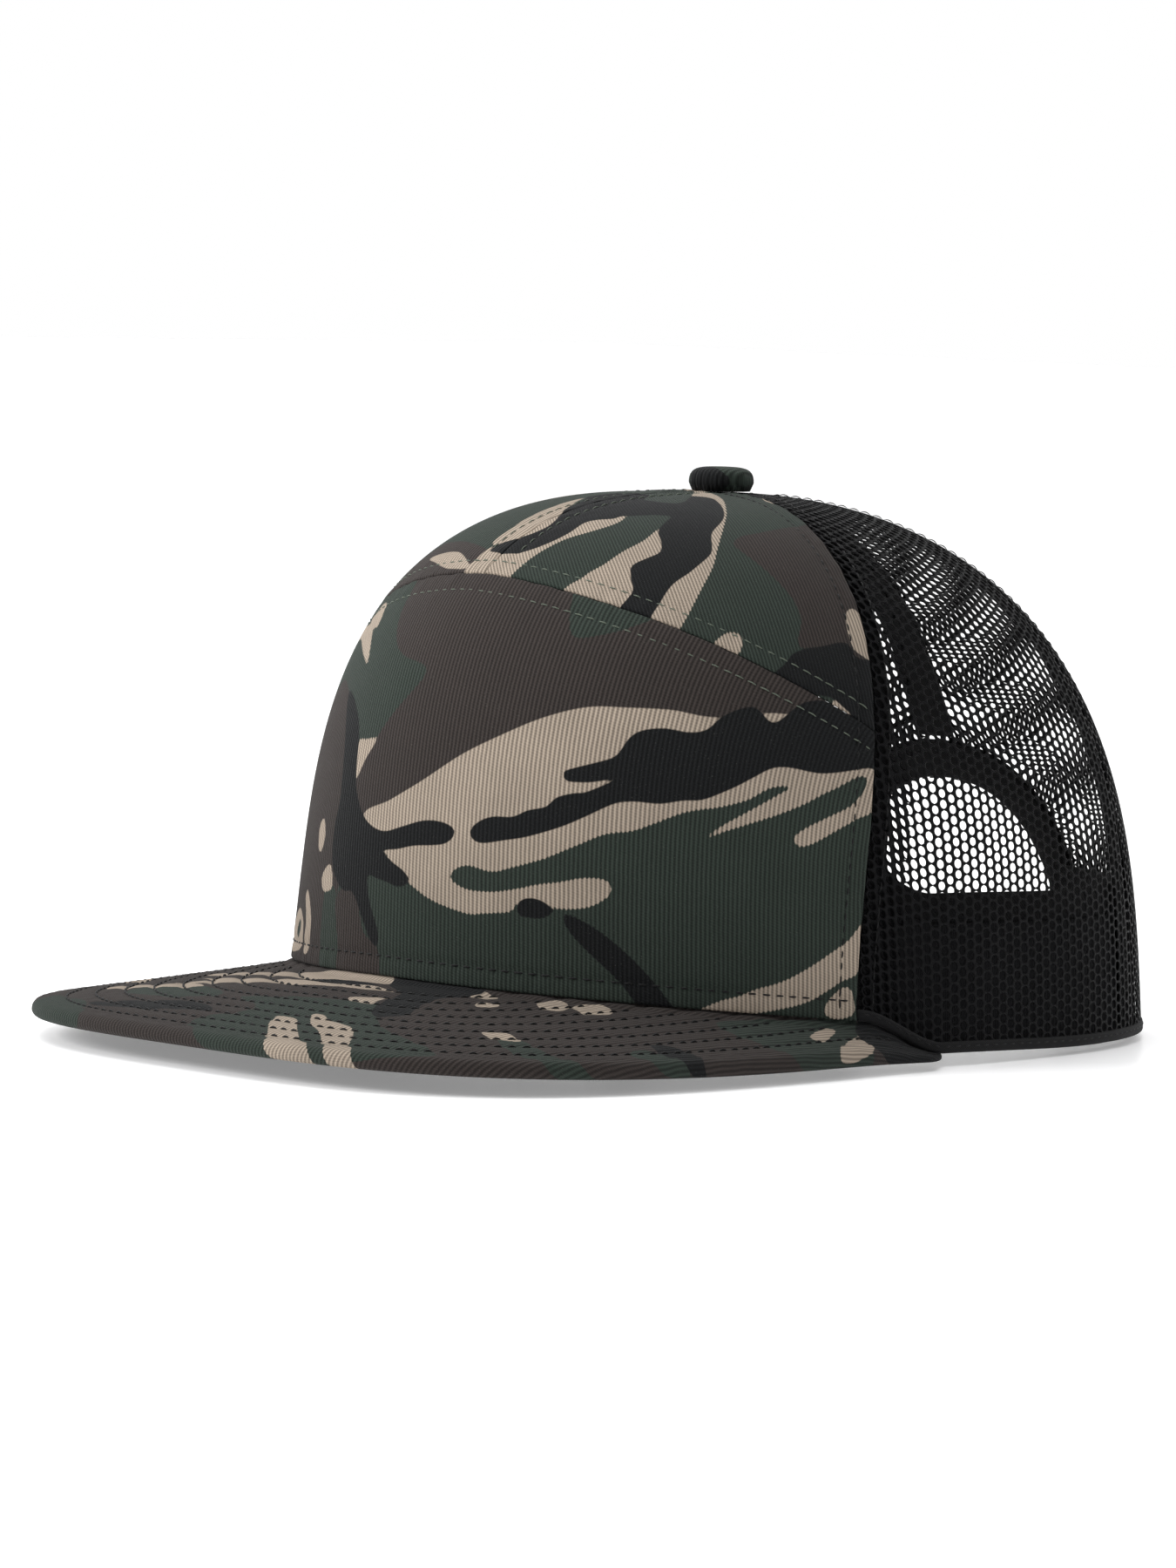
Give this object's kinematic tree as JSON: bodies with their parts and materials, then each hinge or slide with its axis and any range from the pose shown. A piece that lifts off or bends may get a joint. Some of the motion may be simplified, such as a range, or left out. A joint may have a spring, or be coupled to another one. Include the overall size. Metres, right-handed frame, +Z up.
{
  "type": "trucker mesh cap",
  "caption": "Trucker cap with a camouflage twill front and flat brim, black mesh sides and back, sweatband, top button and a snap strap across the back opening.",
  "frame": {"origin": "middle of the head opening, on the surface the cap stands on", "axes": "+Z up through the button, -Y towards the front of the brim, +X the wearer's left"},
  "size_m": [0.1822, 0.2465, 0.1252],
  "materials": {
    "camo_twill": "cotton twill printed in green, brown, black and tan patches",
    "black_mesh": "knitted polyester mesh with rounded holes",
    "buckram": "stiff open-weave interlining",
    "seam_tape": "black woven tape",
    "black_twill": "black cotton twill",
    "lining": "non-woven backing",
    "board_plastic": "polyethylene sheet",
    "strap_plastic": "moulded flexible plastic",
    "button_steel": "plated steel"
  },
  "bodies": {
    "crown": {"front_panel": "camo_twill", "upper_front_panel_left": "camo_twill", "upper_front_panel_right": "camo_twill", "brim_top_cover": "camo_twill", "button_cover": "camo_twill", "side_mesh_left": "black_mesh", "side_mesh_right": "black_mesh", "back_mesh_left": "black_mesh", "back_mesh_right": "black_mesh", "front_buckram": "buckram", "upper_buckram_left": "buckram", "upper_buckram_right": "buckram", "front_side_seam_tape_left": "seam_tape", "front_side_seam_tape_right": "seam_tape", "side_back_seam_tape_left": "seam_tape", "side_back_seam_tape_right": "seam_tape", "back_centre_seam_tape": "seam_tape", "front_centre_seam_tape": "seam_tape", "yoke_seam_tape": "seam_tape", "arch_binding": "seam_tape", "rim_binding_left": "seam_tape", "rim_binding_right": "seam_tape", "sweatband": "black_twill", "sweatband_lining": "lining", "brim_under_cover": "black_twill", "brim_board": "board_plastic", "button_shell": "button_steel", "button_rivet": "button_steel", "button_washer": "button_steel", "hole_strap_anchor": "strap_plastic", "peg_strap_anchor": "strap_plastic"},
    "hole_strap_body": {"hole_strap": "strap_plastic"},
    "peg_strap_body": {"peg_strap": "strap_plastic"}
  },
  "joints": [
    {"name": "hole_strap_hinge", "type": "hinge", "parent": "crown", "child": "hole_strap_body", "pos_m": [0.03069, 0.08104, 0.01376], "axis": [0, 0.0927, -0.9957], "range_deg": [0, 85]},
    {"name": "peg_strap_hinge", "type": "hinge", "parent": "crown", "child": "peg_strap_body", "pos_m": [-0.03069, 0.08104, 0.01376], "axis": [0, 0.0927, -0.9957], "range_deg": [0, 55]}
  ]
}
